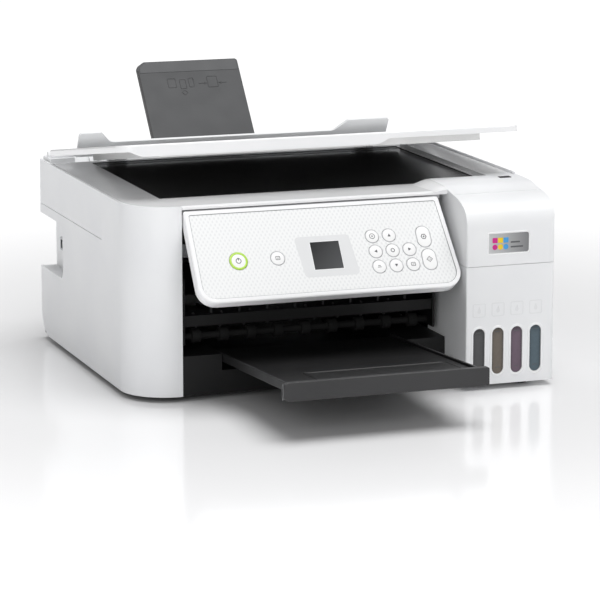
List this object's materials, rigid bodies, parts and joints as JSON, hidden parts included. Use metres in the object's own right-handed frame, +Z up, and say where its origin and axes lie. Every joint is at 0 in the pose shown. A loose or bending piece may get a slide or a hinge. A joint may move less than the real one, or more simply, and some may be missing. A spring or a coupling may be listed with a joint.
{
  "type": "inkjet printer",
  "caption": "All-in-one inkjet printer with a lifting scanner lid, tilting control panel, refillable ink tanks, pulled-out output tray and raised rear paper support.",
  "frame": {"origin": "on the table, under the middle of the printer's outline with the output tray out and the paper support up", "axes": "+X to the printer's right as its user faces it, +Y to the rear, +Z up"},
  "size_m": [0.375, 0.528, 0.2516],
  "materials": {
    "white_case": "fine-grained satin ABS, slightly cool white",
    "white_gloss": "smooth white ABS with a soft sheen",
    "black_plastic": "black ABS, lightly textured",
    "tray_plastic": "dark charcoal ABS, fine grain",
    "support_plastic": "dark grey ABS, fine grain",
    "guard_plastic": "pale grey ABS",
    "fascia": "white with a fine diagonal hatch",
    "button_white": "white keys with grey outlines",
    "glass": "scanner glass over a dark cavity",
    "lcd": "dark screen",
    "mat_white": "white foam-backed sheet",
    "tank_black": "smoke translucent plastic over black ink",
    "tank_yellow": "smoke translucent plastic over yellow ink",
    "tank_magenta": "smoke translucent plastic over magenta ink",
    "tank_cyan": "smoke translucent plastic over cyan ink",
    "cap_plastic": "filler cap",
    "badge": "brushed silver foil with colour marks",
    "steel": "zinc-plated steel",
    "rubber": "soft rubber",
    "board": "green circuit board"
  },
  "bodies": {
    "case": {"base_frame": "black_plastic", "left_side_cover": "white_case", "upper_side_cover": "white_case", "right_side_cover": "white_case", "rear_cover": "white_case", "tank_housing": "white_case", "ink_tank_black": "tank_black", "ink_tank_yellow": "tank_yellow", "ink_tank_magenta": "tank_magenta", "ink_tank_cyan": "tank_cyan", "panel_bracket": "black_plastic", "feed_hopper": "black_plastic", "scanner_hinge_pins": "steel", "inner_frame": "black_plastic", "platen": "black_plastic", "exit_guide": "black_plastic", "carriage_rail": "steel", "main_board": "board", "power_supply": "black_plastic", "ac_inlet": "black_plastic", "usb_port": "steel", "rubber_feet": "rubber", "case_screws": "steel"},
    "scanner_unit": {"scanner_frame": "white_gloss", "scanner_glass": "glass", "tank_cover": "white_case", "tank_badge": "badge"},
    "scan_bar": {"scan_bar": "black_plastic"},
    "lid": {"lid_shell": "white_case", "lid_mat": "mat_white"},
    "control_panel": {"panel_frame": "white_gloss", "panel_fascia": "fascia", "lcd_screen": "lcd", "panel_board": "board"},
    "output_tray": {"output_tray": "tray_plastic"},
    "tray_extension": {"tray_extension": "tray_plastic"},
    "tray_stopper": {"tray_stopper": "tray_plastic"},
    "paper_support": {"paper_support": "support_plastic"},
    "feeder_guard": {"feeder_guard": "guard_plastic"},
    "left_edge_guide": {"left_edge_guide": "support_plastic"},
    "right_edge_guide": {"right_edge_guide": "support_plastic"},
    "print_carriage": {"print_carriage": "black_plastic"},
    "exit_roller": {"exit_roller": "rubber"},
    "feed_roller": {"feed_roller": "rubber"},
    "power_button": {"power_button": "button_white"},
    "network_button": {"network_button": "button_white"},
    "help_button": {"help_button": "button_white"},
    "up_button": {"up_button": "button_white"},
    "left_button": {"left_button": "button_white"},
    "ok_button": {"ok_button": "button_white"},
    "right_button": {"right_button": "button_white"},
    "back_button": {"back_button": "button_white"},
    "down_button": {"down_button": "button_white"},
    "options_button": {"options_button": "button_white"},
    "stop_button": {"stop_button": "button_white"},
    "start_button": {"start_button": "button_white"},
    "tank_cap_black": {"tank_cap_black": "cap_plastic"},
    "tank_cap_yellow": {"tank_cap_yellow": "cap_plastic"},
    "tank_cap_magenta": {"tank_cap_magenta": "cap_plastic"},
    "tank_cap_cyan": {"tank_cap_cyan": "cap_plastic"}
  },
  "joints": [
    {"name": "scanner_hinge", "type": "hinge", "parent": "case", "child": "scanner_unit", "pos_m": [0, 0.176, 0.158], "axis": [-1, 0, 0], "range_deg": [0, 20]},
    {"name": "lid_hinge", "type": "hinge", "parent": "scanner_unit", "child": "lid", "pos_m": [0, 0.171, 0.1757], "axis": [-1, 0, 0], "range_deg": [-9.1, 45]},
    {"name": "scan_bar_travel", "type": "slide", "parent": "scanner_unit", "child": "scan_bar", "axis": [1, 0, 0], "range_m": [0, 0.26]},
    {"name": "panel_tilt", "type": "hinge", "parent": "case", "child": "control_panel", "pos_m": [0, -0.09061, 0.15848], "axis": [-1, 0, 0], "range_deg": [-28, 20]},
    {"name": "tray_pull", "type": "slide", "parent": "case", "child": "output_tray", "axis": [0, -0.9982, 0.0602], "range_m": [-0.1675, 0]},
    {"name": "extension_pull", "type": "slide", "parent": "output_tray", "child": "tray_extension", "axis": [0, -0.9982, 0.0602], "range_m": [0, 0.05]},
    {"name": "stopper_lift", "type": "hinge", "parent": "output_tray", "child": "tray_stopper", "pos_m": [-0.0203, -0.25366, 0.04727], "axis": [1, 0, 0], "range_deg": [0, 80]},
    {"name": "support_slide", "type": "slide", "parent": "case", "child": "paper_support", "axis": [0, 0.6293, 0.7771], "range_m": [-0.07, 0]},
    {"name": "guard_fold", "type": "hinge", "parent": "case", "child": "feeder_guard", "pos_m": [0, 0.191, 0.177], "axis": [-1, 0, 0], "range_deg": [0, 56]},
    {"name": "left_guide_slide", "type": "slide", "parent": "case", "child": "left_edge_guide", "axis": [1, 0, 0], "range_m": [0, 0.04]},
    {"name": "right_guide_slide", "type": "slide", "parent": "case", "child": "right_edge_guide", "axis": [1, 0, 0], "range_m": [-0.04, 0]},
    {"name": "carriage_travel", "type": "slide", "parent": "case", "child": "print_carriage", "axis": [1, 0, 0], "range_m": [-0.164, 0]},
    {"name": "exit_roller_spin", "type": "hinge", "parent": "case", "child": "exit_roller", "pos_m": [0, -0.062, 0.0516], "axis": [1, 0, 0], "continuous": true},
    {"name": "feed_roller_spin", "type": "hinge", "parent": "case", "child": "feed_roller", "pos_m": [0, 0.147, 0.13], "axis": [1, 0, 0], "continuous": true},
    {"name": "power_button_press", "type": "slide", "parent": "control_panel", "child": "power_button", "axis": [0, 0.829, -0.5592], "range_m": [0, 0.0008], "stiffness_N_per_m": 300, "springref_m": -0.001},
    {"name": "network_button_press", "type": "slide", "parent": "control_panel", "child": "network_button", "axis": [0, 0.829, -0.5592], "range_m": [0, 0.0008], "stiffness_N_per_m": 300, "springref_m": -0.001},
    {"name": "help_button_press", "type": "slide", "parent": "control_panel", "child": "help_button", "axis": [0, 0.829, -0.5592], "range_m": [0, 0.0008], "stiffness_N_per_m": 300, "springref_m": -0.001},
    {"name": "up_button_press", "type": "slide", "parent": "control_panel", "child": "up_button", "axis": [0, 0.829, -0.5592], "range_m": [0, 0.0008], "stiffness_N_per_m": 300, "springref_m": -0.001},
    {"name": "left_button_press", "type": "slide", "parent": "control_panel", "child": "left_button", "axis": [0, 0.829, -0.5592], "range_m": [0, 0.0008], "stiffness_N_per_m": 300, "springref_m": -0.001},
    {"name": "ok_button_press", "type": "slide", "parent": "control_panel", "child": "ok_button", "axis": [0, 0.829, -0.5592], "range_m": [0, 0.0008], "stiffness_N_per_m": 300, "springref_m": -0.001},
    {"name": "right_button_press", "type": "slide", "parent": "control_panel", "child": "right_button", "axis": [0, 0.829, -0.5592], "range_m": [0, 0.0008], "stiffness_N_per_m": 300, "springref_m": -0.001},
    {"name": "back_button_press", "type": "slide", "parent": "control_panel", "child": "back_button", "axis": [0, 0.829, -0.5592], "range_m": [0, 0.0008], "stiffness_N_per_m": 300, "springref_m": -0.001},
    {"name": "down_button_press", "type": "slide", "parent": "control_panel", "child": "down_button", "axis": [0, 0.829, -0.5592], "range_m": [0, 0.0008], "stiffness_N_per_m": 300, "springref_m": -0.001},
    {"name": "options_button_press", "type": "slide", "parent": "control_panel", "child": "options_button", "axis": [0, 0.829, -0.5592], "range_m": [0, 0.0008], "stiffness_N_per_m": 300, "springref_m": -0.001},
    {"name": "stop_button_press", "type": "slide", "parent": "control_panel", "child": "stop_button", "axis": [0, 0.829, -0.5592], "range_m": [0, 0.0008], "stiffness_N_per_m": 300, "springref_m": -0.001},
    {"name": "start_button_press", "type": "slide", "parent": "control_panel", "child": "start_button", "axis": [0, 0.829, -0.5592], "range_m": [0, 0.0008], "stiffness_N_per_m": 300, "springref_m": -0.001},
    {"name": "cap_black_hinge", "type": "hinge", "parent": "case", "child": "tank_cap_black", "pos_m": [0.115, -0.1034, 0.0924], "axis": [-1, 0, 0], "range_deg": [0, 75]},
    {"name": "cap_yellow_hinge", "type": "hinge", "parent": "case", "child": "tank_cap_yellow", "pos_m": [0.133, -0.1034, 0.0924], "axis": [-1, 0, 0], "range_deg": [0, 75]},
    {"name": "cap_magenta_hinge", "type": "hinge", "parent": "case", "child": "tank_cap_magenta", "pos_m": [0.151, -0.1034, 0.0924], "axis": [-1, 0, 0], "range_deg": [0, 75]},
    {"name": "cap_cyan_hinge", "type": "hinge", "parent": "case", "child": "tank_cap_cyan", "pos_m": [0.169, -0.1034, 0.0924], "axis": [-1, 0, 0], "range_deg": [0, 75]}
  ],
  "couplings": [
    {"joint": "right_guide_slide", "follows": "left_guide_slide", "ratio": -1}
  ]
}
